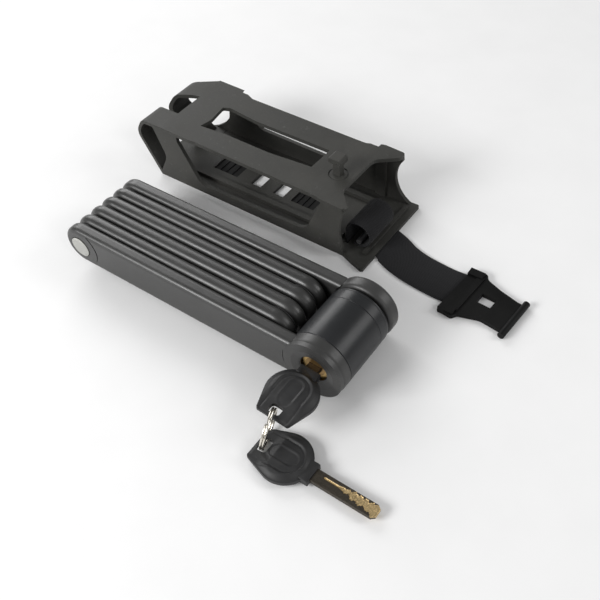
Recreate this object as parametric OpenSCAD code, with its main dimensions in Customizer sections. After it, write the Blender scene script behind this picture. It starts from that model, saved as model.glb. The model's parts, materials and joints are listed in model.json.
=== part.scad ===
// Folding bicycle lock: six riveted links, a barrel lock head, two keys on a
// split ring, and the frame holder with its webbing strap.
// Millimetres, +Z up. X runs along the folded links, Y across the stack.

/* [Links] */
// Distance from the first rivet to the barrel axis
head_x = 157; // [150:0.5:170]
// Distance between the two rivets of an inner link
pitch_x = 126; // [110:0.5:126]
// Height of a covered link
link_h = 23.6; // [22:0.2:24]
// Thickness of a covered link
link_t = 8.3; // [8.2:0.05:8.4]
// Step from one link to the next across the stack
link_step = 8.86; // [8.86:0.02:9]
// Edge rounding of the inner links
inner_edge = 3.8; // [2:0.1:3.9]
// Edge rounding of the two outer links
outer_edge = 2.9; // [2:0.1:3.5]
// Thickness of the steel bar inside a link
core_t = 5; // [4.6:0.1:5]
// Height of the steel bar inside a link
core_h = 17; // [15:0.5:18]

/* [Rivets] */
// Radius of a rivet shank
rivet_r = 4; // [3.5:0.1:4.2]
// Radius of a rivet head
rivet_head_r = 6.25; // [5.8:0.05:6.3]

/* [Head] */
// Radius of the barrel and of the end disc
head_r = 17.2; // [17:0.1:17.4]
// Height of the barrel axis above the ground
axis_z = 17.2; // [17.2:0.1:17.4]
// Y where the barrel housing ends and its end cap begins
housing_y = 35; // [35:0.1:35.2]
// Y of the rear face of the barrel
barrel_y = 42.3; // [42.3:0.05:42.4]
// Roll of the lock cylinder about its axis, degrees
key_roll = 4; // [0:1:10]

/* [Keys] */
// Width of a key blade
blade_w = 7; // [6.5:0.1:7]
// Thickness of a key blade
blade_t = 2.4; // [2:0.1:2.4]
// Length of a key blade beyond its collar
blade_l = 32.5; // [29:0.5:32.5]
// Radius of the round part of a key bow
bow_r = 13.4; // [13:0.1:13.8]
// Thickness of a key bow
bow_t = 6; // [5:0.2:6]

/* [Holder] */
// Y of the middle plane of the holder
holder_y = 115.6; // [115:0.1:117]
// Width of the holder over its side walls
holder_w = 57.8; // [57:0.2:58.4]
// Wall thickness of the holder
wall = 2.4; // [2:0.1:2.6]
// Height of the holder's top face at its right end
holder_h = 36.4; // [36:0.1:37]

/* [Strap] */
// Width of the webbing
strap_w = 25; // [24:0.1:25.2]
// Thickness of the webbing
strap_t = 1.3; // [1:0.1:1.4]

/* [Hidden] */
$fn = 48;
// the origin is the middle of the whole set's footprint, on the ground
ox = -93.52;
oy = -46.48;
eps = 0.05;
hr = link_h / 2;
wall_in = (link_t - core_t) / 2;
inner_x = pitch_x;
cap_x = head_x - sqrt(head_r * head_r - hr * hr);
hy0 = holder_y - holder_w / 2;
hy1 = holder_y + holder_w / 2;
pin_y = [8, 12.5, 17, 21.5, 26];
plug_r = 5.6;
cyl_r = 10.5;
cyl_y0 = 3.2;
cyl_y1 = 33;
// where the split ring crosses each bow
ring_c = [156.2, -34.05, 10.52];
ring_r = 9.78;
ring_wire = 0.62;
key2 = [169.1, -39, 3.2];

module at_origin() translate([ox, oy, 0]) children();

// a cylinder along Y from y0 to y1
module ycyl(r, y0, y1, x = 0, z = axis_z)
  translate([x, y0, z]) rotate([-90, 0, 0]) cylinder(r = r, h = y1 - y0);

module ycone(ra, rb, y0, y1, x = 0, z = axis_z)
  translate([x, y0, z]) rotate([-90, 0, 0]) cylinder(r1 = ra, r2 = rb, h = y1 - y0);

// an outline in X and Z, drawn from y0 to y1
module plate_y(y0, y1)
  translate([0, y1, 0]) rotate([90, 0, 0]) linear_extrude(height = y1 - y0) children();

// half of a disc's section with rounded rims: e0 at y = 0, e1 at y = t
module rim(r, t, e0, e1) {
  translate([0, e0]) square([r, t - e0 - e1]);
  square([r - e0, t]);
  square([r - e1, t]);
  translate([r - e0, e0]) circle(r = e0);
  translate([r - e1, t - e1]) circle(r = e1);
}

// a bar along X, fully rounded ends, rounded edges
module rounded_bar(xa, xb, y0, t, r, e) {
  for (x = [xa, xb]) translate([x, y0, axis_z]) rotate([-90, 0, 0]) rotate_extrude($fn = 72)
    rim(r, t, e, e);
  translate([xa, y0, axis_z]) rotate([90, 0, 90]) linear_extrude(height = xb - xa) {
    translate([e, -r]) square([t - 2 * e, 2 * r]);
    translate([0, e - r]) square([t, 2 * r - 2 * e]);
    for (y = [e, t - e], z = [e - r, r - e]) translate([y, z]) circle(r = e);
  }
}

// a flat bar along X with round ends
module flat_bar(xa, xb, y0, t, r) plate_y(y0, y0 + t) {
  for (x = [xa, xb]) translate([x, axis_z]) circle(r = r);
  translate([xa, axis_z - r]) square([xb - xa, 2 * r]);
}

// y of link i's outer face
function ly(i) = (i - 1) * link_step;
// x of the rivet that joins link i to link i + 1
function rx(i) = i % 2 == 1 ? 0 : pitch_x;

module link_core(i) {
  color("gray")
  difference() {
    union() {
      if (i == 1 || i == 6) {
        flat_bar(0, head_x - 10, ly(i) + wall_in, core_t, core_h / 2);
        ycyl(14.5, ly(i) + wall_in, ly(i) + wall_in + core_t, head_x);
      } else flat_bar(0, inner_x, ly(i) + wall_in, core_t, core_h / 2);
    }
    // bore that holds this link's own rivet
    if (i < 6) ycyl(rivet_r, ly(i) - 1, ly(i) + link_t + 1, rx(i));
    // bore that turns on the previous link's rivet
    if (i > 1) ycyl(rivet_r + 0.05, ly(i) - 1, ly(i) + link_t + 1, rx(i - 1));
    if (i == 1) ycyl(cyl_r + 0.05, -1, ly(2), head_x);
    if (i == 6) ycyl(5.05, ly(6) - 1, ly(6) + link_t + 1, head_x);
  }
}

module link_sleeve(i) {
  e = (i == 1 || i == 6) ? outer_edge : inner_edge;
  color([0.2, 0.2, 0.2])
  difference() {
    if (i == 1 || i == 6) difference() {
      rounded_bar(0, cap_x + 6, ly(i), link_t, hr, e);
      ycyl(head_r + eps, ly(i) - 1, ly(i) + link_t + 1, head_x);
      translate([head_x - 8, ly(i) - 1, -1]) cube([60, 12, 40]);
    }
    else rounded_bar(0, inner_x, ly(i), link_t, hr, e);
    flat_bar(0, (i == 1 || i == 6) ? head_x : inner_x, ly(i) + wall_in - eps, core_t + 2 * eps, core_h / 2 + eps);
    if (i < 6) {
      ycyl(rivet_head_r + 0.35, ly(i) - 1, ly(i) + wall_in + eps, rx(i));
      ycyl(rivet_r + 0.4, ly(i) + link_t - wall_in - eps, ly(i) + link_t + 1, rx(i));
    }
    if (i > 1) {
      ycyl(rivet_r + 0.4, ly(i) - 1, ly(i) + wall_in + eps, rx(i - 1));
      ycyl(rivet_head_r + 0.35, ly(i) + link_t - wall_in - eps, ly(i) + link_t + 1, rx(i - 1));
    }
    // shallow round of the end cover beside the outer rivet heads
    if (i == 1) difference() {
      ycyl(hr + 1.1, -1, 0.35, 0);
      ycyl(hr + 0.2, -2, 1, 0);
      translate([-20, -3, -1]) cube([27, 6, 40]);
    }
    if (i == 6) difference() {
      ycyl(hr + 1.1, ly(6) + link_t - 0.35, ly(6) + link_t + 1, 0);
      ycyl(hr + 0.2, ly(6), ly(6) + link_t + 2, 0);
      translate([-20, ly(6), -1]) cube([27, 12, 40]);
    }
  }
}

// rivet i joins link i to link i + 1 and is fixed in link i
module rivet(i) {
  y0 = ly(i) + wall_in;
  y1 = ly(i + 1) + wall_in + core_t;
  front = i == 1 ? y0 + 0.75 : 1.35;
  rear = i == 5 ? wall_in + 0.75 : 1.35;
  color("silver") {
    ycyl(rivet_r, y0 - 0.5, y1 + 0.5, rx(i));
    if (i == 1) { ycyl(rivet_head_r, -0.35, y0, rx(i)); ycone(rivet_head_r - 1, rivet_head_r, -0.8, -0.35, rx(i)); }
    else ycyl(rivet_head_r, y0 - 1.35, y0, rx(i));
    if (i == 5) { ycyl(rivet_head_r, y1 + eps, ly(6) + link_t + 0.25, rx(i)); ycone(rivet_head_r, rivet_head_r - 1, ly(6) + link_t + 0.25, ly(6) + link_t + 0.6, rx(i)); }
    else ycyl(rivet_head_r, y1 + eps, y1 + 1.35, rx(i));
  }
}

module rivet_washer(i)
  color("dimgray") difference() {
    ycyl(9.6, ly(i) + link_t + 0.03, ly(i + 1) - 0.04, rx(i));
    ycyl(rivet_r + 0.03, ly(i), ly(i + 1) + 1, rx(i));
  }

module head_cap()
  color([0.22, 0.22, 0.22]) difference() {
    union() {
      translate([head_x, 0, axis_z]) rotate([-90, 0, 0]) rotate_extrude($fn = 72) rim(head_r, 8.2, 4.05, 0.3);
      // the face runs on flat from the first link
      intersection() {
        rounded_bar(100, head_x, 0, link_t - 0.15, hr, outer_edge);
        translate([cap_x - 4, -1, 0]) cube([head_x - cap_x + 4, 12, 40]);
        ycyl(head_r, -1, 8.2, head_x);
      }
    }
    // dished face round the key recess
    ycyl(7.6, -1, cyl_y0, head_x);
    ycone(8.4, 7.6, 0.99, 1.6, head_x);
    ycone(12.3, 8.4, -0.01, 1.0, head_x);
    // lock cylinder
    ycyl(cyl_r + eps, cyl_y0 - eps, 9, head_x);
    // eye of the first link's bar
    ycyl(14.55, wall_in - eps, wall_in + core_t + eps, head_x);
    flat_bar(100, head_x, wall_in - eps, core_t + 2 * eps, core_h / 2 + eps);
  }

module head_housing()
  color([0.2, 0.2, 0.21]) difference() {
    translate([head_x, 8.28, axis_z]) rotate([-90, 0, 0]) rotate_extrude($fn = 72) rim(head_r, housing_y - 8.28, 0.4, 0.3);
    ycyl(cyl_r + eps, 7, housing_y + 1, head_x);
    for (s = [-1, 1]) ycyl(1.25, 22, housing_y + 1, head_x + s * 13.9);
  }

module head_end_cap()
  color([0.2, 0.2, 0.21]) difference() {
    translate([head_x, housing_y + eps, axis_z]) rotate([-90, 0, 0]) rotate_extrude($fn = 72) rim(head_r - 0.05, barrel_y - housing_y - eps, 0.3, 1.5);
    // latch chamber
    translate([head_x - 8.2, housing_y, axis_z - 11.8]) cube([16.4, 3.45, 23.2]);
    // socket for the locking stud
    ycyl(5.2, housing_y, barrel_y + 1, head_x);
    ycone(5.2, 6.0, barrel_y - 0.8, barrel_y + 0.01, head_x);
    for (s = [-1, 1]) {
      ycyl(1.45, housing_y, barrel_y + 1, head_x + s * 13.9);
      ycyl(2.4, barrel_y - 2, barrel_y + 1, head_x + s * 13.9);
    }
  }

module head_screws()
  color("silver") for (s = [-1, 1]) difference() {
    union() {
      ycyl(1.2, 24, barrel_y - 1.9, head_x + s * 13.9);
      ycyl(2.2, barrel_y - 1.95, barrel_y - 0.5, head_x + s * 13.9);
    }
    translate([head_x + s * 13.9, barrel_y + 1, axis_z]) rotate([90, 0, 0]) cylinder(r = 1.0, h = 2.6, $fn = 6);
  }

module rolled() translate([head_x, 0, axis_z]) rotate([0, key_roll, 0]) children();

module cylinder_body()
  color([0.78, 0.62, 0.3]) rolled() difference() {
    ycyl(cyl_r, cyl_y0, cyl_y1, 0, 0);
    ycyl(plug_r + eps, 0, 40, 0, 0);
    for (y = pin_y) translate([0, y, 0]) cylinder(r = 1.5, h = 12, $fn = 32);
  }

module cylinder_plug()
  color([0.82, 0.66, 0.32]) {
    rolled() difference() {
      ycyl(plug_r, cyl_y0, 35, 0, 0);
      // keyway
      translate([-blade_w / 2 - 0.15, 0, -blade_t / 2 - 0.15]) cube([blade_w + 0.3, 34.2, blade_t + 0.3]);
      // groove for the clip
      difference() { ycyl(8, 33.1, 33.9, 0, 0); ycyl(4.9, 30, 35, 0, 0); }
      for (y = pin_y) translate([0, y, 0]) cylinder(r = 1.5, h = 9, $fn = 32);
    }
    // crank pin that moves the latch plate
    ycyl(1.2, 34.9, 36, head_x + 2, axis_z - 2);
  }

module key_pins()
  color("silver") rolled() for (y = pin_y) translate([0, y, 0]) {
    translate([0, 0, 1.9]) cylinder(r = 1.4, h = 3.45, $fn = 32);
    translate([0, 0, 1.3]) cylinder(r1 = 0.7, r2 = 1.4, h = 0.6, $fn = 32);
  }

module driver_pins()
  color("silver") rolled() for (y = pin_y) translate([0, y, 5.75]) cylinder(r = 1.4, h = 1.5, $fn = 32);

// points of a small compression spring
function coil(r, w, h, turns, n, k) = [
  for (i = [0 : n]) let (a = 360 * turns * i / n, z = w + (h - 2 * w) * i / n)
    for (j = [0 : k - 1]) let (b = 360 * j / k, q = r + w * cos(b)) [q * cos(a), q * sin(a), z + w * sin(b)]
];
module spring(r, w, h, turns, n, k) polyhedron(
  points = coil(r, w, h, turns, n, k),
  faces = concat(
    [[for (j = [0 : k - 1]) j]],
    [for (i = [0 : n - 1], j = [0 : k - 1]) let (a = i * k + j, b = i * k + (j + 1) % k) [a, a + k, b]],
    [for (i = [0 : n - 1], j = [0 : k - 1]) let (a = i * k + j, b = i * k + (j + 1) % k) [b, a + k, b + k]],
    [[for (j = [k - 1 : -1 : 0]) n * k + j]]
  ));

module pin_springs()
  color("silver") rolled() for (y = pin_y) translate([0, y, 7.3]) spring(1.0, 0.22, 2.2, 3, 24, 6);

module chamber_plugs()
  color([0.78, 0.62, 0.3]) rolled() for (y = pin_y) translate([0, y, 9.55]) cylinder(r = 1.48, h = 0.7, $fn = 32);

module plug_clip()
  color("gray") rolled() difference() {
    ycyl(7.2, 33.15, 33.85, 0, 0);
    ycyl(4.95, 33, 34, 0, 0);
    translate([-2.2, 32, 0]) cube([4.4, 3, 10]);
  }

// slotted plate that the plug's crank pin lifts into the stud's groove
module latch_plate()
  color("gray") difference() {
    translate([head_x - 8, 35.15, axis_z - 11.5]) cube([16, 3.1, 18.5]);
    // slot for the crank pin
    translate([head_x + 0.6, 35, axis_z - 3.45]) cube([3.7, 1.15, 2.9]);
    // pocket for the stud's head
    ycyl(5.35, 36.15, 37.2, head_x);
    ycyl(5.35, 36.15, 37.2, head_x, axis_z - 4);
    translate([head_x - 5.35, 36.15, axis_z - 4]) cube([10.7, 1.05, 4]);
    // keyhole behind it
    ycyl(5.35, 37.1, 39, head_x);
    ycyl(3.75, 37.1, 39, head_x, axis_z - 4);
    translate([head_x - 3.75, 37.1, axis_z - 4]) cube([7.5, 2, 4]);
  }

module end_disc()
  color([0.22, 0.22, 0.22]) difference() {
    translate([head_x, ly(6), axis_z]) rotate([-90, 0, 0]) rotate_extrude($fn = 72) rim(head_r, 8.9, 2.6, 2.6);
    ycyl(14.55, ly(6) + wall_in - eps, ly(6) + wall_in + core_t + eps, head_x);
    flat_bar(100, head_x, ly(6) + wall_in - eps, core_t + 2 * eps, core_h / 2 + eps);
    ycyl(7.2, ly(6) - 1, ly(6) + wall_in, head_x);
  }

module locking_stud()
  color("silver") difference() {
    union() {
      ycyl(5, 43.0, 51, head_x);
      ycone(4.6, 5, 42.6, 43.0, head_x);
    }
    difference() { ycyl(6, 43.5, 44.9, head_x); ycyl(3.5, 42, 46, head_x); }
  }

module stud_ring()
  color("dimgray") difference() {
    ycyl(7.1, ly(6) + 0.1, ly(6) + wall_in - 0.02, head_x);
    ycyl(5.08, ly(6) - 1, ly(6) + 3, head_x);
  }

// key in its own frame: blade along +X, bow centred on the origin
tail_x = 15.8;
// one tail corner of the spare key is worn back where the ring runs past it
module bow_outline(worn = false) {
  circle(r = bow_r, $fn = 72);
  polygon([[-tail_x, -8.6], [-tail_x + 0.6, -9.2], [-4.6, -12.8], [3, 0], [-4.6, 12.8], worn ? [-13.2, 9.4] : [-tail_x + 0.6, 9.2], worn ? [-tail_x, 5.6] : [-tail_x, 8.6]]);
}
module key_bow(worn = false)
  color([0.12, 0.12, 0.13]) difference() {
    union() {
      translate([0, 0, -bow_t / 2 + 0.8]) linear_extrude(height = bow_t - 1.6) bow_outline(worn);
      translate([0, 0, -bow_t / 2]) linear_extrude(height = bow_t) scale([0.93, 0.93, 1]) bow_outline(worn);
      // collar
      translate([11, -5.5, -2.2]) cube([4.9, 11, 4.4]);
    }
    // thinner tail
    for (s = [-1, 1]) translate([-20, -20, s > 0 ? 1.2 : -6.2]) cube([12.2, 40, 5]);
    // slot for the ring
    translate([-14.5, -4, -5]) cube([5.4, 8, 10]);
    // slot that grips the blade
    translate([6, -blade_w / 2 - eps, -blade_t / 2 - eps]) cube([20, blade_w + 2 * eps, blade_t + 2 * eps]);
  }
module key_blade()
  color([0.5, 0.47, 0.4]) difference() {
    translate([6.1, -blade_w / 2, -blade_t / 2]) cube([11.1 + blade_l, blade_w, blade_t]);
    // bevelled tip
    for (s = [-1, 1]) translate([17.2 + blade_l, s * (blade_w / 2 + 0.6), -5]) rotate([0, 0, 45]) translate([-1.8, -1.8, 0]) cube([3.6, 3.6, 10]);
    // dimples under the pins, on both faces
    for (y = pin_y, s = [-1, 1]) translate([16 + y, 0, s * (blade_t / 2 + 0.5)]) sphere(r = 1.0, $fn = 24);
    // milled track along one side
    translate([22, 1.6, blade_t / 2 - 0.35]) cube([blade_l, 1.1, 1]);
  }
module place_key_1() translate([head_x, 0, axis_z]) rotate([0, key_roll, 0]) translate([0, -16, 0]) rotate([0, 0, 90]) children();
module place_key_2() translate(key2) children();

module split_ring()
  color([0.75, 0.72, 0.65]) translate(ring_c) rotate([0, 99.4, 18.5])
    rotate_extrude($fn = 72) for (s = [-1, 1]) translate([ring_r, s * (ring_wire - 0.03)]) circle(r = ring_wire, $fn = 24);

// corners of a polygon rounded with arcs of radius q[2]
function unit(v) = v / norm(v);
function corner(a, p, b) =
  let (u = unit([a[0] - p[0], a[1] - p[1]]), v = unit([b[0] - p[0], b[1] - p[1]]), r = p[2], h = acos(u * v) / 2, t = r / tan(h), m = unit(u + v),
       c = [p[0], p[1]] + m * (r / sin(h)), f = [p[0], p[1]] + u * t - c, g = [p[0], p[1]] + v * t - c)
  r == 0 ? [[p[0], p[1]]] : [for (k = [0 : 6]) let (w = unit(f * (6 - k) + g * k)) c + w * r];
function rounded(q) = [for (i = [0 : len(q) - 1]) each corner(q[(i + len(q) - 1) % len(q)], q[i], q[(i + 1) % len(q)])];

// side wall outline in X and Z, with its hollowed ends
module side_outline(front = false) difference() {
  polygon(rounded([[-20, 0, 0], [133, 0, 0], [133, 1.6, 0], [124, 5, 0], [121.6, 36.4, 0], [92, 36.4, 0], [-14, 38.4, 0], [-19.6, 38.4, 0], [-21.8, 38.2, 0], [-19.6, 33, 8], [-13.2, 16.4, 9], [-19.6, 5, 6], [-20.6, 2.2, 0]]));
  if (front) translate([152.6, 17.5]) circle(r = 38, $fn = 120);
  else translate([137.4, 19.6]) circle(r = 19.6, $fn = 72);
}
// window of the front wall, open up to the top plate
module side_window() polygon(rounded([[-1.2, 42, 0], [-1.8, 32.6, 1.2], [12.4, 5.8, 8], [91.5, 7.4, 9], [103.2, 34, 0], [103.2, 42, 0]]));
// the rear wall: a shallower window, and a left end that curves in under the top plate
module rear_window() polygon(rounded([[8, 36, 0], [16, 14.4, 6], [91, 12.8, 7], [102.6, 33, 2], [101, 36, 0]]));
module rear_end() polygon(rounded([[-20.6, -1, 0], [-20.6, 2.4, 0], [-13.8, 7.2, 3], [-8.4, 13.4, 6], [-7.4, 22, 0], [-9.4, 33, 3], [-14.4, 36.2, 0], [-14.4, 60, 0], [140, 60, 0], [140, -1, 0]]));
module rear_relief() polygon(rounded([[4.1, 31, 0], [4.1, 36, 0], [14, 50, 0], [104, 50, 0], [106, 36, 0], [101, 31, 0]]));
// outline of the top plate
module top_outline() polygon(rounded([
  [-14, hy0, 0], [8, hy0, 3], [13, 87.3, 3], [96, 87.3, 6], [104, 86.2, 5], [117.6, 85.6, 1.4], [119.4, 88.4, 2], [109.6, 99, 8],
  [109.6, 130.2, 8], [121.8, 139.6, 3], [122.2, 144.8, 2], [108, 145.4, 6], [98, 141, 6], [15.4, 139.9, 3], [4.1, hy1, 1.5], [-14, hy1, 0]
]));
module top_window() polygon(rounded([[5.6, 101.2, 0.4], [23, 103, 4], [55.4, 103.2, 20], [83.6, 106.2, 0.5], [84, 124, 0.5], [31, 123, 20], [10.2, 125, 4], [5.4, 123, 1.5], [7.4, 109, 6]]));
// section of the bands that close the left end, in X and Z
module band() difference() {
  polygon(rounded([[-13, 38.4, 0], [-29.4, 38.4, 6], [-36, 27.6, 9], [-21, 0, 0], [-12, 0, 0], [-12, 2.4, 0], [-19.6, 2.4, 0], [-33.4, 27.6, 7], [-28.4, 36, 4], [-13, 36, 0]]));
}

module holder_shell()
  color([0.19, 0.19, 0.18]) difference() {
    union() {
      // side walls
      plate_y(hy0, hy0 + wall) difference() { side_outline(true); side_window(); }
      plate_y(hy1 - wall, hy1) difference() { intersection() { side_outline(); rear_end(); } rear_window(); }
      // bottom plate with its spread right corners
      linear_extrude(height = 2.2) polygon([[-20.6, hy0], [117, hy0], [124, 84], [132.2, 81.4], [133.4, 82.2], [133.4, 144.2], [132.6, 145], [117, hy1], [-20.6, hy1], [-31, 136], [-31, 104], [-20.6, 104]]);
      // top plate
      translate([0, 0, holder_h - wall]) linear_extrude(height = wall) intersection() { top_outline(); translate([92, 0]) square([40, 200]); }
      translate([92, 0, holder_h]) rotate([0, 1.1, 0]) translate([-92, 0, -wall]) linear_extrude(height = wall) difference() {
        intersection() { top_outline(); translate([-14, 0]) square([106.02, 200]); }
        top_window();
      }
      // tongues and the curled bands that close the left end
      plate_y(hy0, 103.2) band();
      intersection() {
        plate_y(110, hy1) band();
        translate([0, 0, -1]) linear_extrude(height = 50) polygon(rounded([[-10, 124, 0], [-17, 124, 10], [-38, 113.4, 0], [-38, 127.6, 0], [-13.6, hy1, 4], [-10, hy1, 0]]));
      }
      // rails inside the bottom plate
      for (y = [97, 130.8]) translate([-10, y, 2]) cube([120, 3.4, 2.4]);
      // ledge at the right end
      translate([126.6, 92, 2]) cube([2.6, 47.2, 1.8]);
      // thickened right end posts
      for (y = [hy0, hy1 - 4]) translate([105, y, 2]) cube([7, 4, 32.2]);
    }
    // the rear wall's top edge over its window
    plate_y(142, hy1 + 1) rear_relief();
    // hollow between the walls at the left end
    translate([-19, 104, 3]) cube([5, 20, 32.9]);
    // ladder of openings in the bottom plate
    for (x = ladder) translate([x[0], 107.4, -1]) cube([x[1], 18.2, 5]);
    // slot and channel for the strap
    translate([112.7, 95, -1]) cube([2.3, 26.4, 5]);
    translate([112.7, 95, -1]) cube([24, 26.4, 2.5]);
    // round recess at the foot of the peg
    difference() { translate([99.8, 109.4, holder_h - 0.5]) cylinder(r = 5.8, h = 2); translate([99.8, 109.4, holder_h - 1]) cylinder(r = 5.1, h = 4); }
    // seat of the peg
    translate([97.2, 107.3, 30]) cube([5, 4.6, 10]);
  }

// openings in the bottom plate: left edge and length
ladder = [[5.2, 18.8], [34.8, 7.7], [52, 7.7], [65.6, 16.6]];
// rubber pads pressed into the two long openings, which grip the tube
module frame_pads()
  color([0.05, 0.05, 0.05]) for (x = [ladder[0], ladder[3]]) translate([x[0], 107.4, 0]) difference() {
    cube([x[1], 18.2, 1.4]);
    for (k = [1 : 3]) translate([x[1] * k / 4 - 0.5, -1, 0.9]) cube([1, 21, 1]);
  }

module strap_peg()
  color([0.2, 0.2, 0.19]) {
    translate([97.3, 107.4, 34]) cube([4.8, 4.4, 9.8]);
    plate_y(108.2, 115.8) polygon([[93.6, 42.8], [93.6, 45.4], [94.6, 46.2], [101, 46.2], [102.1, 45.2], [102.1, 42], [97.3, 42], [96.6, 42.6]]);
  }

module anchor_pin()
  color("gray") ycyl(1.6, 96.4, 120, 121.5, 5.35);

// webbing loop with a pin sewn in, which can't pass the slot; it leaves under the plate
module strap_anchor()
  color([0.1, 0.1, 0.1]) {
    plate_y(95.8, 95.8 + strap_w) difference() {
      union() { translate([121.5, 11]) circle(r = 8.6); translate([112.9, 4]) square([8.6, 7]); }
      translate([121.5, 11]) circle(r = 8.6 - strap_t);
      translate([112.9 + strap_t, -1]) square([8.6, 12]);
      translate([121.5, -1]) square([12, 12]);
    }
    difference() {
      plate_y(95.8, 95.8 + strap_w) intersection() {
        difference() { translate([121.5, 11]) circle(r = 8.6); translate([121.5, 11]) circle(r = 8.6 - strap_t); }
        translate([118.4, 2.3]) square([12, 8.8]);
      }
    }
    translate([112.9, 95.8, 0.1]) cube([strap_t, strap_w, 4.2]);
    translate([112.9, 95.8, 0.1]) cube([20.7, strap_w, strap_t - 0.1]);
  }

// the free part of the strap lies on the ground and bends towards the links
strap_path = [[143.5, 103.6], [147, 102.2], [152, 100.7], [157, 99.7], [162, 99.1], [167, 98.7], [172, 98.4], [177, 98.3], [182, 98.5], [185.8, 98.8]];
// unit vector across the strap at point i
function across(i) = let (a = strap_path[max(i - 1, 0)], b = strap_path[min(i + 1, len(strap_path) - 1)], l = norm(b - a)) [(a[1] - b[1]) / l, (b[0] - a[0]) / l];
module strap_tail()
  color([0.1, 0.1, 0.1]) translate([0, 0, 0.1]) linear_extrude(height = strap_t - 0.1) polygon(concat(
    [[133.75, 95.8]],
    [for (i = [0 : len(strap_path) - 1]) strap_path[i] - across(i) * (strap_w / 2 - 0.5)],
    [for (i = [len(strap_path) - 1 : -1 : 0]) strap_path[i] + across(i) * (strap_w / 2 - 0.5)],
    [[133.75, 95.8 + strap_w]]
  ));

module strap_tab()
  color([0.2, 0.2, 0.2]) difference() {
    union() {
      translate([0, 0, 0.2]) linear_extrude(height = 2.6) polygon(rounded([
        [181.4, 79.2, 1], [190.6, 78, 2], [192.6, 81.2, 2], [204, 84.8, 10], [215.4, 83.4, 0], [219.2, 83.4, 0],
        [219.8, 105, 0], [215.6, 105.2, 0], [204, 108.2, 10], [195.4, 111.4, 4], [193.4, 114.8, 2], [184.6, 115.2, 1]
      ]));
      // raised shoulders where the webbing is held
      for (y = [81.2, 111.8]) translate([187.2 + (y - 97) / 20, y, 2]) tab_shoulder();
      // bar across the strap's end
      translate([188.6, 97, 0.2]) rotate([0, 0, -4]) translate([0, -14.5, 0]) cube([4, 29, 3.3]);
      // rolled far edge
      translate([218.8, 93.8, 2.1]) rotate([0, 0, -4]) rotate([90, 0, 0]) translate([0, 0, -13.6]) cylinder(r = 1.9, h = 27.2, $fn = 32);
    }
    // window that hooks over the peg
    translate([197, 94.2, -1]) rotate([0, 0, -3]) cube([8.2, 6.8, 10]);
    // pocket for the end of the webbing
    translate([178, 85.2, 0.05]) cube([9.6, 27, 1.35]);
  }
module tab_shoulder() translate([-4.2, -2.4, -1.9]) cube([8.6, 4.8, 3.8]);

at_origin() link_core(1);  // link_core_1
at_origin() link_core(2);  // link_core_2
at_origin() link_core(3);  // link_core_3
at_origin() link_core(4);  // link_core_4
at_origin() link_core(5);  // link_core_5
at_origin() link_core(6);  // link_core_6
at_origin() link_sleeve(1);  // link_sleeve_1
at_origin() link_sleeve(2);  // link_sleeve_2
at_origin() link_sleeve(3);  // link_sleeve_3
at_origin() link_sleeve(4);  // link_sleeve_4
at_origin() link_sleeve(5);  // link_sleeve_5
at_origin() link_sleeve(6);  // link_sleeve_6
at_origin() rivet(1);  // rivet_1
at_origin() rivet(2);  // rivet_2
at_origin() rivet(3);  // rivet_3
at_origin() rivet(4);  // rivet_4
at_origin() rivet(5);  // rivet_5
at_origin() rivet_washer(1);  // rivet_washer_1
at_origin() rivet_washer(2);  // rivet_washer_2
at_origin() rivet_washer(3);  // rivet_washer_3
at_origin() rivet_washer(4);  // rivet_washer_4
at_origin() rivet_washer(5);  // rivet_washer_5
at_origin() head_cap();
at_origin() head_housing();
at_origin() head_end_cap();
at_origin() head_screws();
at_origin() cylinder_body();
at_origin() cylinder_plug();
at_origin() key_pins();
at_origin() driver_pins();
at_origin() pin_springs();
at_origin() chamber_plugs();
at_origin() plug_clip();
at_origin() latch_plate();
at_origin() end_disc();
at_origin() locking_stud();
at_origin() stud_ring();
at_origin() place_key_1() key_bow();  // key_bow_1
at_origin() place_key_1() key_blade();  // key_blade_1
at_origin() place_key_2() key_bow(true);  // key_bow_2
at_origin() place_key_2() key_blade();  // key_blade_2
at_origin() split_ring();
at_origin() holder_shell();
at_origin() frame_pads();
at_origin() strap_peg();
at_origin() anchor_pin();
at_origin() strap_anchor();
at_origin() strap_tail();
at_origin() strap_tab();
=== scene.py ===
import bpy
import bmesh
import json
import math
import numpy as np
from mathutils import Vector, Matrix

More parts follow.
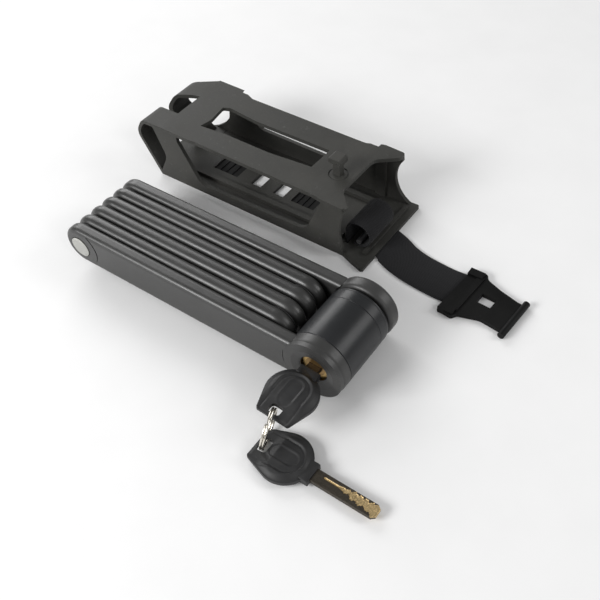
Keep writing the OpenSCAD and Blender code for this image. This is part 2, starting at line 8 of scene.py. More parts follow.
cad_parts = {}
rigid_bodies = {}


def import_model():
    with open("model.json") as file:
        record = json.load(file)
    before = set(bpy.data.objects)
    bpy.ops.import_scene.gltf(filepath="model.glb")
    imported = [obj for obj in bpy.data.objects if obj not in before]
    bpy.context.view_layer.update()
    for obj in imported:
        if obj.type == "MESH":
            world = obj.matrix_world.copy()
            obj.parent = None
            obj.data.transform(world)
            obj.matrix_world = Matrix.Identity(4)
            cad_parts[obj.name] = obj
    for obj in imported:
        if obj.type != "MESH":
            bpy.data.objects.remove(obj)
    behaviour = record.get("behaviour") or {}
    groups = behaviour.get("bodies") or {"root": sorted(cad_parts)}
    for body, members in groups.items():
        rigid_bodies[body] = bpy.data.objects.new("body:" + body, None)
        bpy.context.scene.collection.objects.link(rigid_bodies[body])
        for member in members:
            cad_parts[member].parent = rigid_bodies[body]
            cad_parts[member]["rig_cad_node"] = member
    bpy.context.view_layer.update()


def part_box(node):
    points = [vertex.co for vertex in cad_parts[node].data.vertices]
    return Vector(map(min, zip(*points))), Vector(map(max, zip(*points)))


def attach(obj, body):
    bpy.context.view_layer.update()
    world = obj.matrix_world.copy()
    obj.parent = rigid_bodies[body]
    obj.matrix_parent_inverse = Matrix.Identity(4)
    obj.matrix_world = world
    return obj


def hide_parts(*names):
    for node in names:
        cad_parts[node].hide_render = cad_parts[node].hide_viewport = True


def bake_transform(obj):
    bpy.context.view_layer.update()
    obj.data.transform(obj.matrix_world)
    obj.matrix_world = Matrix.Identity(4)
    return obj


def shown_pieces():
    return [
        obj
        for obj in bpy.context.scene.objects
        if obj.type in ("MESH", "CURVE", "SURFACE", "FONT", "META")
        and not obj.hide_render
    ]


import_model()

# the lock's own frame: x = 0 at the first rivet, y = 0 at the first link's face, z = 0 on the ground
_a, _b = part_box("rivet_1")
OX = (_a.x + _b.x) / 2
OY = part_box("link_sleeve_1")[0].y


def P(x, y, z):
    return Vector((OX + x / 1000, OY + y / 1000, z / 1000))


# ------------------------------------------------------------------ camera
cam_data = bpy.data.cameras.new("camera")
cam_data.lens = 48.5106
cam_data.sensor_width = 36
cam_data.clip_start = 0.01
cam_data.clip_end = 20
cam = bpy.data.objects.new("camera", cam_data)
bpy.context.scene.collection.objects.link(cam)
R = Vector((0.812663, 0.580501, -0.050966))
U = Vector((-0.405091, 0.625633, 0.666697))
D = Vector((-0.418904, 0.521154, -0.743584))
cm = Matrix((R, U, -D)).transposed().to_4x4()
cm.translation = P(300.1449, -182.6339, 326.3422)
cam.matrix_world = cm
bpy.context.scene.camera = cam

# ------------------------------------------------------------------ lights
world = bpy.data.worlds.new("world")
bpy.context.scene.world = world
bpy.context.scene.view_settings.view_transform = "Standard"
world.use_nodes = True
world.node_tree.nodes["Background"].inputs[0].default_value = (1, 1, 1, 1)
world.node_tree.nodes["Background"].inputs[1].default_value = 0.31


def area(name, at, to, size, power, colour=(1, 1, 1)):
    d = bpy.data.lights.new(name, "AREA")
    d.shape = "RECTANGLE"
    d.size, d.size_y = size
    d.energy = power
    d.color = colour
    o = bpy.data.objects.new(name, d)
    bpy.context.scene.collection.objects.link(o)
    at, to = Vector(at), Vector(to)
    o.location = at
    o.rotation_euler = (to - at).to_track_quat("-Z", "Y").to_euler()
    return o


area("key_light", (-0.50, -0.90, 0.60), (0, 0, 0.01), (0.60, 0.40), 11.5)
area("left_light", (-0.92, 0.54, 0.58), (0, 0.02, 0.01), (0.8, 0.6), 6.4)
area("right_light", (0.80, 0.50, 0.60), (0, 0.02, 0.01), (0.35, 0.5), 2.6)
area("side_light", (1.0, -0.35, 0.55), (0, 0, 0.02), (0.25, 0.5), 1.4)

# ------------------------------------------------------------------ materials


def new_material(name):
    m = bpy.data.materials.new(name)
    m.use_nodes = True
    nt = m.node_tree
    nt.nodes.clear()
    out = nt.nodes.new("ShaderNodeOutputMaterial")
    b = nt.nodes.new("ShaderNodeBsdfPrincipled")
    nt.links.new(b.outputs[0], out.inputs[0])
    return m, nt, b


def node(nt, kind, **values):
    n = nt.nodes.new(kind)
    for k, v in values.items():
        if k in n.inputs.keys():
            n.inputs[k].default_value = v
        else:
            setattr(n, k, v)
    return n


def coords(nt, scale=(1, 1, 1), uv=False):
    tc = node(nt, "ShaderNodeTexCoord")
    mp = node(nt, "ShaderNodeMapping")
    mp.inputs["Scale"].default_value = scale
    nt.links.new(tc.outputs["UV" if uv else "Object"], mp.inputs["Vector"])
    return mp.outputs[0]


def ramp(nt, src, stops):
    r = node(nt, "ShaderNodeValToRGB")
    e = r.color_ramp.elements
    while len(e) < len(stops):
        e.new(0.5)
    for el, (p, c) in zip(e, stops):
        el.position = p
        el.color = (*c, 1) if len(c) == 3 else c
    nt.links.new(src, r.inputs[0])
    return r.outputs[0]


def map_range(nt, src, lo, hi, a=0.3, b=0.7):
    r = node(nt, "ShaderNodeMapRange")
    r.inputs["From Min"].default_value = a
    r.inputs["From Max"].default_value = b
    r.inputs["To Min"].default_value = lo
    r.inputs["To Max"].default_value = hi
    nt.links.new(src, r.inputs["Value"])
    return r.outputs[0]


def plastic(name, dark, light, rough, grain=2600, bump=0.25, dist=0.00004, patch=60, spec=0.5, stretch=(1, 1, 1), scuff=0.0):
    """Moulded plastic: cloudy colour, fine spark-eroded grain, uneven gloss and a few light scuffs."""
    m, nt, b = new_material(name)
    v = coords(nt, stretch)
    big = node(nt, "ShaderNodeTexNoise", Scale=patch, Detail=4.0, Roughness=0.6)
    nt.links.new(v, big.inputs["Vector"])
    fine = node(nt, "ShaderNodeTexNoise", Scale=grain, Detail=2.0, Roughness=0.6)
    nt.links.new(v, fine.inputs["Vector"])
    col = ramp(nt, big.outputs["Fac"], [(0.3, dark), (0.72, light)])
    if scuff:
        s = node(nt, "ShaderNodeTexNoise", Scale=patch * 9, Detail=6.0, Roughness=0.75)
        nt.links.new(v, s.inputs["Vector"])
        k = ramp(nt, s.outputs["Fac"], [(0.60, (0, 0, 0)), (0.74, (scuff,) * 3)])
        mix = node(nt, "ShaderNodeMix", data_type="RGBA", blend_type="ADD")
        mix.inputs[0].default_value = 1.0
        nt.links.new(col, mix.inputs[6])
        nt.links.new(k, mix.inputs[7])
        col = mix.outputs[2]
    nt.links.new(col, b.inputs["Base Color"])
    mixr = node(nt, "ShaderNodeMath", operation="ADD")
    nt.links.new(map_range(nt, big.outputs["Fac"], rough[0], rough[1]), mixr.inputs[0])
    nt.links.new(map_range(nt, fine.outputs["Fac"], -0.05, 0.05), mixr.inputs[1])
    nt.links.new(mixr.outputs[0], b.inputs["Roughness"])
    b.inputs["Specular IOR Level"].default_value = spec
    bp = node(nt, "ShaderNodeBump", Strength=bump, Distance=dist)
    nt.links.new(fine.outputs["Fac"], bp.inputs["Height"])
    nt.links.new(bp.outputs[0], b.inputs["Normal"])
    return m


def metal(name, dark, light, rough, scale=(400, 400, 400), bump=0.15, dist=0.00002, patch=3.0):
    """Metal with fine directional marks and slight tarnish."""
    m, nt, b = new_material(name)
    v = coords(nt, scale)
    n = node(nt, "ShaderNodeTexNoise", Scale=patch, Detail=5.0, Roughness=0.65)
    nt.links.new(v, n.inputs["Vector"])
    nt.links.new(ramp(nt, n.outputs["Fac"], [(0.3, dark), (0.7, light)]), b.inputs["Base Color"])
    nt.links.new(map_range(nt, n.outputs["Fac"], rough[0], rough[1]), b.inputs["Roughness"])
    b.inputs["Metallic"].default_value = 1.0
    bp = node(nt, "ShaderNodeBump", Strength=bump, Distance=dist)
    nt.links.new(n.outputs["Fac"], bp.inputs["Height"])
    nt.links.new(bp.outputs[0], b.inputs["Normal"])
    return m


def woven(name):
    """Flat webbing: warp ribs along the strap crossed by picks, seen through the strip's own UV, in millimetres."""
    m, nt, b = new_material(name)
    v = coords(nt, (1, 1, 1), uv=True)
    sep = node(nt, "ShaderNodeSeparateXYZ")
    nt.links.new(v, sep.inputs[0])

    def sine(src, period, phase=0.0):
        k = node(nt, "ShaderNodeMath", operation="MULTIPLY_ADD")
        k.inputs[1].default_value = 2 * math.pi / period
        k.inputs[2].default_value = phase
        nt.links.new(src, k.inputs[0])
        s = node(nt, "ShaderNodeMath", operation="SINE")
        nt.links.new(k.outputs[0], s.inputs[0])
        return s.outputs[0]

    su = sine(sep.outputs[0], 1.3)
    sv = sine(sep.outputs[1], 1.1)
    mul = node(nt, "ShaderNodeMath", operation="MULTIPLY")
    nt.links.new(su, mul.inputs[0])
    nt.links.new(sv, mul.inputs[1])
    fib = node(nt, "ShaderNodeTexNoise", Scale=2.2, Detail=3.0, Roughness=0.7)
    st = node(nt, "ShaderNodeMapping")
    st.inputs["Scale"].default_value = (1.0, 6.0, 1.0)
    nt.links.new(v, st.inputs[0])
    nt.links.new(st.outputs[0], fib.inputs["Vector"])
    h = node(nt, "ShaderNodeMath", operation="MULTIPLY_ADD")
    h.inputs[1].default_value = 0.4
    nt.links.new(mul.outputs[0], h.inputs[0])
    nt.links.new(fib.outputs["Fac"], h.inputs[2])
    # the colour follows the weave's height: its troughs are painted darker as shade, and the fibre noise adds the
    # yarn's own tone
    nt.links.new(ramp(nt, h.outputs[0], [(0.1, (0.006, 0.006, 0.0065)), (0.9, (0.030, 0.030, 0.032))]), b.inputs["Base Color"])
    nt.links.new(map_range(nt, h.outputs[0], 0.8, 0.95), b.inputs["Roughness"])
    b.inputs["Specular IOR Level"].default_value = 0.1
    b.inputs["Sheen Weight"].default_value = 0.08
    b.inputs["Sheen Roughness"].default_value = 0.5
    bp = node(nt, "ShaderNodeBump", Strength=0.5, Distance=0.00025)
    nt.links.new(h.outputs[0], bp.inputs["Height"])
    nt.links.new(bp.outputs[0], b.inputs["Normal"])
    return m


LINK = plastic("link_plastic", (0.025, 0.025, 0.0243), (0.035, 0.035, 0.0338), (0.32, 0.42), grain=2200, bump=0.3, patch=45, scuff=0.02, spec=0.56)
BARREL = plastic("barrel_plastic", (0.016, 0.017, 0.018), (0.022, 0.023, 0.025), (0.3, 0.38), grain=3000, bump=0.12, patch=40, spec=0.3)
CAP = plastic("cap_plastic", (0.030, 0.030, 0.0295), (0.041, 0.041, 0.040), (0.34, 0.44), grain=2400, bump=0.3, patch=50, spec=0.48)
HOLDER = plastic("holder_plastic_look", (0.032, 0.032, 0.029), (0.054, 0.053, 0.048), (0.5, 0.64), grain=1500, bump=0.5, dist=0.00008, patch=35, scuff=0.05, spec=0.25)
TAB = plastic("tab_plastic_look", (0.004, 0.004, 0.004), (0.008, 0.008, 0.0078), (0.46, 0.58), grain=1800, bump=0.4, patch=60, scuff=0.012, spec=0.15)
BOW = plastic("bow_plastic", (0.022, 0.022, 0.0225), (0.034, 0.034, 0.0345), (0.4, 0.52), grain=3200, bump=0.3, patch=120, scuff=0.02, spec=0.28)
NYLON = plastic("nylon", (0.02, 0.02, 0.02), (0.03, 0.03, 0.03), (0.6, 0.7), patch=90)
RIVET = metal("rivet_zinc", (0.43, 0.43, 0.405), (0.62, 0.62, 0.585), (0.34, 0.46), scale=(900, 200, 900))
STEEL = metal("bar_steel", (0.30, 0.30, 0.31), (0.42, 0.42, 0.43), (0.35, 0.5), scale=(60, 600, 900))
DARK_STEEL = metal("dark_steel", (0.16, 0.16, 0.17), (0.26, 0.26, 0.27), (0.4, 0.5))
BRASS = metal("brass_turned", (0.50, 0.31, 0.10), (0.80, 0.58, 0.26), (0.24, 0.4), scale=(700, 200, 700))
# the plug's brass is darkened all over: painted shade for the dim key recess it sits in
PLUG = metal("brass_plug_darkened_shade", (0.24, 0.135, 0.045), (0.56, 0.38, 0.17), (0.28, 0.44), scale=(700, 200, 700))
NICKEL = metal("ring_nickel", (0.62, 0.58, 0.50), (0.88, 0.85, 0.78), (0.12, 0.26), scale=(500, 500, 500))
BLADE = metal("blade_nickel", (0.05, 0.044, 0.036), (0.12, 0.105, 0.085), (0.4, 0.55), scale=(300, 1400, 1400), bump=0.25)
MILLED = metal("blade_milled", (0.24, 0.175, 0.085), (0.86, 0.66, 0.36), (0.45, 0.62), scale=(900, 900, 900), bump=0.7, dist=0.00015, patch=1.6)
WEB = woven("webbing_weave")
# near-black pads in two of the frame's openings: painted shade standing in for the darkness seen through them
OPENING_SHADE_PAD = plastic("opening_pads_painted_shade", (0.004, 0.004, 0.004), (0.008, 0.008, 0.008), (0.65, 0.8), grain=1500, bump=0.4, patch=80, spec=0.25)

by_node = {}
for i in range(1, 7):
    by_node[f"link_core_{i}"] = STEEL
    by_node[f"link_sleeve_{i}"] = LINK
for i in range(1, 6):
    by_node[f"rivet_{i}"] = RIVET
    by_node[f"rivet_washer_{i}"] = NYLON
by_node.update(
    head_cap=CAP, head_housing=BARREL, head_end_cap=BARREL, head_screws=DARK_STEEL, cylinder_body=BRASS,
    cylinder_plug=PLUG, key_pins=STEEL, driver_pins=STEEL, pin_springs=STEEL, chamber_plugs=BRASS,
    plug_clip=DARK_STEEL, latch_plate=DARK_STEEL, end_disc=CAP, locking_stud=STEEL, stud_ring=NYLON,
    key_bow_1=BOW, key_bow_2=BOW, key_blade_1=BLADE, key_blade_2=BLADE, split_ring=NICKEL,
    holder_shell=HOLDER, strap_peg=HOLDER, anchor_pin=STEEL, strap_anchor=WEB, strap_tail=WEB, strap_tab=TAB,
)
# the frame pads carry painted shade for the dark openings
by_node["frame_pads"] = OPENING_SHADE_PAD
cad = {o["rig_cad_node"]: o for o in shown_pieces() if "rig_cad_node" in o}
for name, o in cad.items():
    o.data.materials.clear()
    o.data.materials.append(by_node[name])


def soft_edges(name, width, segments=2, angle=32):
    """Small moulded radii along a CAD node's sharp edges."""
    o = cad[name]
    w = o.modifiers.new("weld", "WELD")
    w.merge_threshold = 0.000004
    b = o.modifiers.new("bevel", "BEVEL")
    b.width = width
    b.segments = segments
    b.limit_method = "ANGLE"
    b.angle_limit = math.radians(angle)
    b.harden_normals = False
    b.use_clamp_overlap = True
    b.miter_outer = "MITER_ARC"


soft_edges("strap_peg", 0.0004)
soft_edges("strap_tab", 0.0003)
soft_edges("holder_shell", 0.00035)

# ------------------------------------------------------------------ mesh helpers


def new_object(name, verts, faces, material, smooth=True):
    me = bpy.data.meshes.new(name)
    me.from_pydata([tuple(v) for v in verts], [], faces)
    me.validate()
    bm = bmesh.new()
    bm.from_mesh(me)
    bmesh.ops.recalc_face_normals(bm, faces=bm.faces)
    bm.to_mesh(me)
    bm.free()
    if smooth:
        me.polygons.foreach_set("use_smooth", [True] * len(me.polygons))
    me.materials.append(material)
    o = bpy.data.objects.new(name, me)
    bpy.context.scene.collection.objects.link(o)
    return o


def bake(o):
    """Apply o's modifiers to its mesh."""
    dg = bpy.context.evaluated_depsgraph_get()
    me = bpy.data.meshes.new_from_object(o.evaluated_get(dg))
    o.modifiers.clear()
    o.data = me
    return o


def combine(o, other, how):
    m = o.modifiers.new("bool", "BOOLEAN")
    m.operation = how
    m.solver = "EXACT"
    m.object = other
    bpy.context.view_layer.update()
    bake(o)
    bpy.data.objects.remove(other)
    return o


def smooth_by_angle(o, degrees=40):
    me = o.data
    bm = bmesh.new()
    bm.from_mesh(me)
    lim = math.radians(degrees)
    for e in bm.edges:
        e.smooth = not (len(e.link_faces) == 2 and e.calc_face_angle(0) > lim)
    for f in bm.faces:
        f.smooth = True
    bm.to_mesh(me)
    bm.free()


def rounded_block(name, x0, y0, z0, x1, y1, z1, r, material, seg=3):
    bm = bmesh.new()
    vs = [bm.verts.new((x, y, z)) for x in (x0, x1) for y in (y0, y1) for z in (z0, z1)]
    for f in ((0, 1, 3, 2), (4, 6, 7, 5), (0, 4, 5, 1), (2, 3, 7, 6), (0, 2, 6, 4), (1, 5, 7, 3)):
        bm.faces.new([vs[i] for i in f])
    bmesh.ops.recalc_face_normals(bm, faces=bm.faces)
    if r > 0:
        bmesh.ops.bevel(bm, geom=list(bm.edges), offset=r, segments=seg, profile=0.5, affect="EDGES")
    me = bpy.data.meshes.new(name)
    bm.to_mesh(me)
    bm.free()
    me.materials.append(material)
    o = bpy.data.objects.new(name, me)
    bpy.context.scene.collection.objects.link(o)
    return o


def sm(t):
    t = min(max(t, 0.0), 1.0)
    return t * t * (3 - 2 * t)


def place(o, matrix):
    """Local millimetres to the row frame in metres."""
    o.data.transform(matrix)
    o.data.update()
    return o


# key placements, as in the CAD: blade along the key's +X, bow centred on its origin
ROLL = math.radians(4)
S = Matrix.Scale(0.001, 4)
KEY1 = Matrix.Translation(P(157, 0, 17.2)) @ Matrix.Rotation(ROLL, 4, "Y") @ Matrix.Translation((0, -0.016, 0)) @ Matrix.Rotation(math.pi / 2, 4, "Z") @ S
KEY2 = Matrix.Translation(P(169.1, -39, 3.2)) @ S

# ------------------------------------------------------------------ key bows
BOW_R = 13.4


def bow_outline(worn):
    pts = []
    for k in range(0, 61):
        a = math.radians(-110 + 220 * k / 60)
        pts.append((BOW_R * math.cos(a), BOW_R * math.sin(a)))
    tail = ([(-13.2, 9.4), (-15.8, 5.6)] if worn else [(-15.2, 9.2), (-15.8, 8.6)]) + [(-15.8, -8.6), (-15.2, -9.2)]
    poly = pts + tail
    # even spacing along the closed outline
    out, n = [], 200
    seg = [math.dist(poly[i], poly[(i + 1) % len(poly)]) for i in range(len(poly))]
    total = sum(seg)
    for k in range(n):
        s = total * k / n
        i = 0
        while s > seg[i]:
            s -= seg[i]
            i += 1
        a, b = poly[i], poly[(i + 1) % len(poly)]
        t = s / seg[i]
        out.append((a[0] + (b[0] - a[0]) * t, a[1] + (b[1] - a[1]) * t))
    # one pass of smoothing round the corners
    for _ in range(1):
        out = [((out[i - 1][0] + 2 * out[i][0] + out[(i + 1) % n][0]) / 4, (out[i - 1][1] + 2 * out[i][1] + out[(i + 1) % n][1]) / 4) for i in range(n)]
    return out


OUTLINE, _O, _E = [], None, None


def use_outline(worn):
    global OUTLINE, _O, _E
    OUTLINE = bow_outline(worn)
    _O = np.array(OUTLINE)
    _E = np.roll(_O, -1, axis=0) - _O


def edge_distance(x, y):
    p = np.array((x, y))
    t = np.clip(((p - _O) * _E).sum(1) / (_E * _E).sum(1), 0, 1)
    return float(np.sqrt((((_O + t[:, None] * _E) - p) ** 2).sum(1)).min())


def u_distance(x, y, half=7.9, cx=1.4):
    """Inside distance to the U-shaped line that is open towards the tail."""
    if x <= cx:
        return half - abs(y)
    return half - math.hypot(x - cx, y)


def pad_distance(x, y, xa=-5.2, xb=3.4, r=3.7):
    dx = max(xa - x, x - xb, 0)
    return r - math.hypot(dx, y)


def half_thickness(x, y):
    d = edge_distance(x, y)
    du = u_distance(x, y)
    h = 1.15 + 1.75 * sm(d / 3.6)
    if du > -0.2:
        h = min(h, 2.9) - 0.42 * sm((du + 0.2) / 0.7)
    # the tail is thinner, and the grooves run out over it
    h = min(h, 1.22 + 1.75 * sm((x + 10.0) / 8.0))
    deep = 0.62 + 0.38 * sm((x + 10.0) / 8.0)
    h -= 0.42 * deep * math.exp(-(du / 0.42) ** 2) * sm(d / 0.8)
    h += 0.22 * math.exp(-((du + 1.1) / 0.55) ** 2) * sm(d / 1.6) * sm((x + 9.0) / 5.0)
    dp = pad_distance(x, y)
    h -= 0.30 * sm((dp + 0.1) / 0.8)
    h += 0.14 * math.exp(-((dp + 0.5) / 0.5) ** 2) * sm((x + 9.0) / 4.0)
    return max(0.6, h)


def make_bow(name, matrix, worn):
    use_outline(worn)
    n = len(OUTLINE)
    c = (-1.0, 0.0)
    steps = [k / 34 * 0.94 for k in range(1, 35)] + [0.955, 0.97, 0.985, 0.995]
    top, bottom, verts, faces = [], [], [], []
    hc = half_thickness(*c)
    verts.append((c[0], c[1], hc))
    verts.append((c[0], c[1], -hc))
    for t in steps:
        rt, rb = [], []
        for (x, y) in OUTLINE:
            px, py = c[0] + (x - c[0]) * t, c[1] + (y - c[1]) * t
            h = half_thickness(px, py)
            rt.append(len(verts))
            verts.append((px, py, h))
            rb.append(len(verts))
            verts.append((px, py, -h))
        top.append(rt)
        bottom.append(rb)
    # the rim, rounded over
    for (s, hh) in ((1.0, 0.8),):
        for ring, sign in ((top, 1), (bottom, -1)):
            r = []
            for (x, y) in OUTLINE:
                r.append(len(verts))
                verts.append((x * s, y * s, sign * hh * (1.0)))
            ring.append(r)
    for k in range(n):
        j = (k + 1) % n
        faces.append((0, top[0][k], top[0][j]))
        faces.append((1, bottom[0][j], bottom[0][k]))
        for a, b in zip(top, top[1:]):
            faces.append((a[k], b[k], b[j], a[j]))
        for a, b in zip(bottom, bottom[1:]):
            faces.append((a[j], b[j], b[k], a[k]))
        faces.append((top[-1][k], bottom[-1][k], bottom[-1][j], top[-1][j]))
    o = new_object(name, verts, faces, BOW)
    combine(o, rounded_block("collar", 11.0, -5.5, -1.95, 15.9, 5.5, 1.95, 0.3, BOW), "UNION")
    # slot for the ring, with rounded corners
    bm = bmesh.new()
    loop = []
    x0, y0 = (-13.0, -2.4) if worn else (-12.6, -0.9)
    for cx, cy, a0 in ((-10.6, 2.4, 0), (x0, 2.4, 90), (x0, y0, 180), (-10.6, y0, 270)):
        for k in range(5):
            a = math.radians(a0 + 22.5 * k)
            loop.append((cx + 1.5 * math.cos(a), cy + 1.5 * math.sin(a)))
    lo = [bm.verts.new((x, y, -5)) for x, y in loop]
    hi = [bm.verts.new((x, y, 5)) for x, y in loop]
    bm.faces.new(list(reversed(lo)))
    bm.faces.new(hi)
    for k in range(len(loop)):
        j = (k + 1) % len(loop)
        bm.faces.new((lo[k], lo[j], hi[j], hi[k]))
    me = bpy.data.meshes.new("slot")
    bm.to_mesh(me)
    bm.free()
    me.materials.append(BOW)
    cut = bpy.data.objects.new("slot", me)
    bpy.context.scene.collection.objects.link(cut)
    combine(o, cut, "DIFFERENCE")
    smooth_by_angle(o, 38)
    place(o, matrix)
    return o


bow1 = make_bow("key_bow_1_shaped", KEY1, False)
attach(bow1, "key_1")
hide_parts("key_bow_1")
bow2 = make_bow("key_bow_2_shaped", KEY2, True)
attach(bow2, "key_2")
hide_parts("key_bow_2")

# ------------------------------------------------------------------ key blades
BX0, BX1, BW, BT = 14.0, 49.7, 3.5, 1.2


def milled_depth(x, y):
    """How deep the milled track is at x, y on a blade's face; it widens towards the tip in waves."""
    if x < 20.5:
        return 0.0
    mid = 1.15 - 0.55 * sm((x - 33) / 8) - 0.75 * sm((x - 42) / 7)
    wide = 0.62 + 0.55 * sm((x - 28) / 4) + 0.95 * sm((x - 33.5) / 3) + 1.6 * sm((x - 44) / 5)
    up = wide + 0.42 * sm((x - 30) / 3) * math.sin(x * 2.1 + 0.4) + 0.22 * math.sin(x * 4.7)* sm((x - 30) / 3)
    down = wide + 0.55 * sm((x - 30) / 3) * math.sin(x * 1.55 + 1.9) + 0.2 * math.sin(x * 5.3 + 1)* sm((x - 30) / 3)
    if x < 21.6:
        up = down = 0.62 * math.sqrt(max(0, 1 - ((21.6 - x) / 1.1) ** 2))
    edge = min(mid + up - y, y - (mid - down))
    return 0.42 * sm(edge / 0.4)


def make_blade(name, matrix):
    nx, ny = 150, 30
    xs = [BX0 + (BX1 - BX0) * i / nx for i in range(nx + 1)]
    verts, faces, milled = [], [], []
    grid = {}

    def half_width(x):
        return BW - 1.35 * max(0, (x - (BX1 - 1.7)) / 1.7)

    for side in (1, -1):
        for i, x in enumerate(xs):
            hw = half_width(x)
            for j in range(ny + 1):
                y = -hw + 2 * hw * j / ny
                z = BT - milled_depth(x, y * side)
                z -= 0.12 * max(0, 1 - (hw - abs(y)) / 0.25)
                tip = (x - (BX1 - 0.5)) / 0.5
                if tip > 0:
                    z -= 0.25 * tip * tip
                grid[side, i, j] = len(verts)
                verts.append((x, y, side * z))
    for side in (1, -1):
        for i in range(nx):
            for j in range(ny):
                f = (grid[side, i, j], grid[side, i + 1, j], grid[side, i + 1, j + 1], grid[side, i, j + 1])
                faces.append(f if side > 0 else tuple(reversed(f)))
                x = (xs[i] + xs[i + 1]) / 2
                hw = half_width(x)
                y = -hw + 2 * hw * (j + 0.5) / ny
                milled.append(1 if milled_depth(x, y * side) > 0.1 else 0)
    for i in range(nx):
        for j in (0, ny):
            a, b, c, d = grid[1, i, j], grid[1, i + 1, j], grid[-1, i + 1, j], grid[-1, i, j]
            faces.append((a, b, c, d) if j else (d, c, b, a))
            milled.append(0)
    for i in (0, nx):
        for j in range(ny):
            a, b, c, d = grid[1, i, j], grid[1, i, j + 1], grid[-1, i, j + 1], grid[-1, i, j]
            faces.append((a, b, c, d))
            milled.append(1 if i else 0)
    me = bpy.data.meshes.new(name)
    me.from_pydata(verts, [], faces)
    me.materials.append(BLADE)
    me.materials.append(MILLED)
    me.polygons.foreach_set("material_index", milled)
    bm = bmesh.new()
    bm.from_mesh(me)
    bmesh.ops.recalc_face_normals(bm, faces=bm.faces)
    bm.to_mesh(me)
    bm.free()
    o = bpy.data.objects.new(name, me)
    bpy.context.scene.collection.objects.link(o)
    smooth_by_angle(o, 30)
    place(o, matrix)
    return o


blade1 = make_blade("key_blade_1_cut", KEY1)
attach(blade1, "key_1")
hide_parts("key_blade_1")
blade2 = make_blade("key_blade_2_cut", KEY2)
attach(blade2, "key_2")
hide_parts("key_blade_2")

# ------------------------------------------------------------------ split ring: two turns of one wire


def tube(name, path, r, material, sides=12):
    verts, faces = [], []
    path = [Vector(p) for p in path]
    n = len(path)
    prev = None
    for i, p in enumerate(path):
        t = (path[min(i + 1, n - 1)] - path[max(i - 1, 0)]).normalized()
        if prev is None:
            a = t.orthogonal().normalized()
        else:
            a = (prev - t * prev.dot(t)).normalized()
        prev = a
        b = t.cross(a)
        rr = r
        for k in range(sides):
            w = 2 * math.pi * k / sides
            verts.append(p + (a * math.cos(w) + b * math.sin(w)) * rr)
    for i in range(n - 1):
        for k in range(sides):
            j = (k + 1) % sides
            faces.append((i * sides + k, i * sides + j, (i + 1) * sides + j, (i + 1) * sides + k))
    faces.append(tuple(reversed(range(sides))))
    faces.append(tuple((n - 1) * sides + k for k in range(sides)))
    return new_object(name, verts, faces, material)


RING = Matrix.Translation(P(156.2, -34.05, 10.52)) @ Matrix.Rotation(math.radians(18.5), 4, "Z") @ Matrix.Rotation(math.radians(99.4), 4, "Y") @ S
coil = []
turns = 220
START = math.radians(200)
for k in range(turns + 1):
    u = k / turns
    a = START + u * math.radians(706)
    off = -0.6 + 1.2 * sm((u - 0.46) / 0.08)
    coil.append((9.78 * math.cos(a), 9.78 * math.sin(a), off))
ring = tube("split_ring_coil", coil, 0.58, NICKEL)
smooth_by_angle(ring, 50)
place(ring, RING)
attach(ring, "ring")
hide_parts("split_ring")

# ------------------------------------------------------------------ webbing: one strip, looped in the holder
T = 1.16
path = []  # (centre, across)
for a in range(-112, 181, 6):
    w = math.radians(a)
    path.append((Vector((121.5 + 7.95 * math.cos(w), 108.3, 11 + 7.95 * math.sin(w))), Vector((0, 1, 0)), 12.4))
for z in (9.4, 8, 6.6, 5.2, 4, 3, 2.2):
    path.append((Vector((113.75, 108.3, z)), Vector((0, 1, 0)), 12.4))
for a in (200, 220, 240, 260, 270):
    w = math.radians(a)
    path.append((Vector((115.15 + 1.4 * math.cos(w), 108.3, 2.1 + 1.4 * math.sin(w))), Vector((0, 1, 0)), 12.4))
for x in (117, 119.5, 122, 124.5, 127, 129, 131, 133):
    path.append((Vector((x, 108.3, 0.7)), Vector((0, 1, 0)), 12.4))
flat_path = [(134.5, 108.0), (137.4, 106.7), (140.4, 105.1), (143.5, 103.6), (147, 102.2), (152, 100.7), (157, 99.7), (162, 99.1), (167, 98.7), (172, 98.4), (177, 98.3), (182, 98.5), (185.8, 98.8)]
dense = []
for i in range(len(flat_path) - 1):
    p0 = flat_path[max(i - 1, 0)]
    p1, p2 = flat_path[i], flat_path[i + 1]
    p3 = flat_path[min(i + 2, len(flat_path) - 1)]
    for k in range(4):
        t = k / 4
        q = [0.5 * (2 * p1[c] + (p2[c] - p0[c]) * t + (2 * p0[c] - 5 * p1[c] + 4 * p2[c] - p3[c]) * t * t + (3 * p1[c] - p0[c] - 3 * p2[c] + p3[c]) * t ** 3) for c in (0, 1)]
        dense.append(q)
dense.append(flat_path[-1])
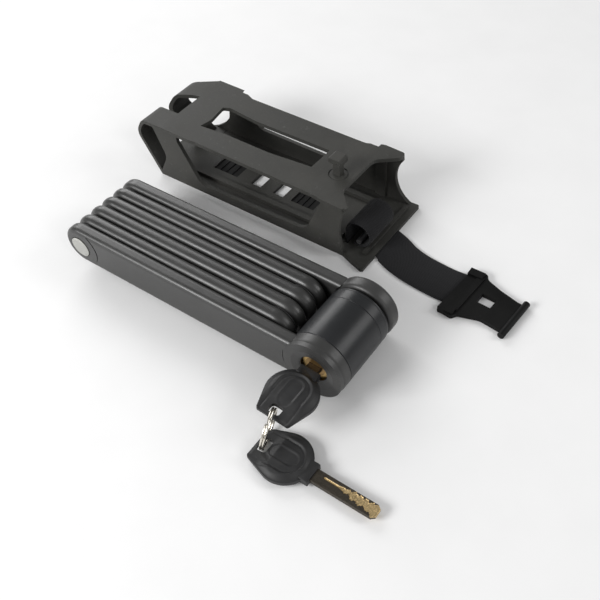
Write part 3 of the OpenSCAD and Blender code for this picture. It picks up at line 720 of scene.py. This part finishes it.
for i, q in enumerate(dense):
    a, b = dense[max(i - 1, 0)], dense[min(i + 1, len(dense) - 1)]
    d = Vector((b[0] - a[0], b[1] - a[1], 0)).normalized()
    ac = Vector((-d.y, d.x, 0))
    k = sm((q[0] - 133) / 12)
    ac = (Vector((0, 1, 0)) * (1 - k) + ac * k).normalized()
    path.append((Vector((q[0], q[1], 0.7 + 0.12 * sm((q[0] - 140) / 10) * math.sin((q[0] - 140) / 7.5))), ac, 12.4 - 0.4 * k))

COLS = 26
verts, faces, uvs = [], [], []
rows = []
length = 0
prev = None
for i, (c, ac, hw) in enumerate(path):
    if prev is not None:
        length += (c - prev).length
    prev = c
    a, b = path[max(i - 1, 0)][0], path[min(i + 1, len(path) - 1)][0]
    nrm = ac.cross((b - a).normalized()).normalized()
    row = []
    for side in (1, -1):
        order = range(COLS + 1) if side > 0 else range(COLS, -1, -1)
        for j in order:
            v = -1 + 2 * j / COLS
            th = T / 2 * (1 - 0.45 * max(0, (abs(v) - 0.93) / 0.07) ** 2)
            q = c + ac * (v * hw) + nrm * (side * th)
            row.append(len(verts))
            verts.append(P(q.x, q.y, max(q.z, 0.08)))
            uvs.append((length, v * hw))
    rows.append(row)
m = len(rows[0])
for a, b in zip(rows, rows[1:]):
    for k in range(m):
        j = (k + 1) % m
        faces.append((a[k], b[k], b[j], a[j]))
faces.append(tuple(rows[0]))
faces.append(tuple(reversed(rows[-1])))
web = new_object("webbing_strip", verts, faces, WEB)
uv = web.data.uv_layers.new(name="strip")
for lp in web.data.loops:
    uv.data[lp.index].uv = uvs[lp.vertex_index]
smooth_by_angle(web, 45)
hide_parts("strap_anchor", "strap_tail")
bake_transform(web)

# ------------------------------------------------------------------ floor
fm, fnt, fb = new_material("floor_paper")
fv = coords(fnt)
fn_ = node(fnt, "ShaderNodeTexNoise", Scale=30.0, Detail=3.0)
fnt.links.new(fv, fn_.inputs["Vector"])
fnt.links.new(ramp(fnt, fn_.outputs["Fac"], [(0.3, (0.90, 0.90, 0.90)), (0.7, (0.92, 0.92, 0.92))]), fb.inputs["Base Color"])
fb.inputs["Roughness"].default_value = 0.9
fb.inputs["Specular IOR Level"].default_value = 0.1
floor = new_object("floor", [(-4, -4, -0.00005), (4, -4, -0.00005), (4, 4, -0.00005), (-4, 4, -0.00005)], [(0, 1, 2, 3)], fm, smooth=False)

# ------------------------------------------------------------------ the end: update the view layer
bpy.context.view_layer.update()
